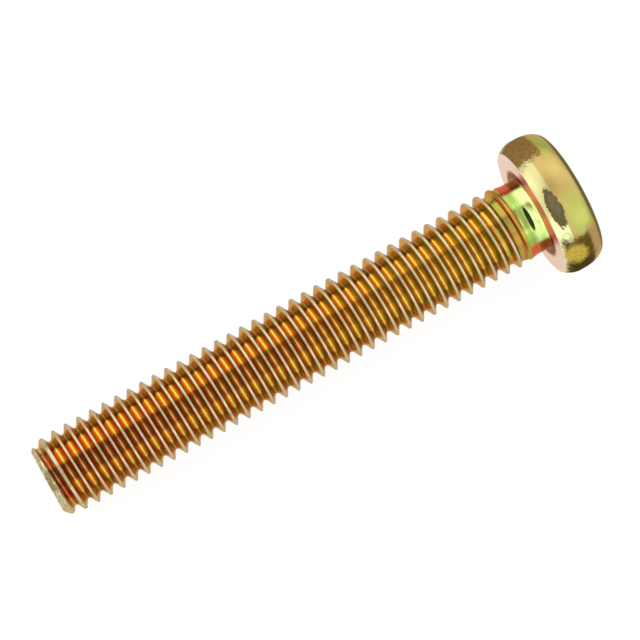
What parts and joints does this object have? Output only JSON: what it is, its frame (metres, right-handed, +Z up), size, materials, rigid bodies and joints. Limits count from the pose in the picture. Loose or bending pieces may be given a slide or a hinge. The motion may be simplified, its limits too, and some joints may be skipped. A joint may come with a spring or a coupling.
{
  "type": "button head socket screw",
  "caption": "Button head machine screw with a hexagon socket, a short plain neck and a coarse right-hand M6 thread, plated yellow zinc.",
  "frame": {"origin": "middle of the bounding box, on the surface that the screw lies on", "axes": "+Z up; the screw lies along X with its head towards +X, and its axis climbs 3.32 degrees from the tip to the head"},
  "size_m": [0.0426, 0.0104, 0.0104],
  "materials": {
    "yellow_zinc": "yellow zinc plating over steel, iridescent, semi-bright"
  },
  "bodies": {
    "root": {"screw": "yellow_zinc"}
  },
  "joints": []
}
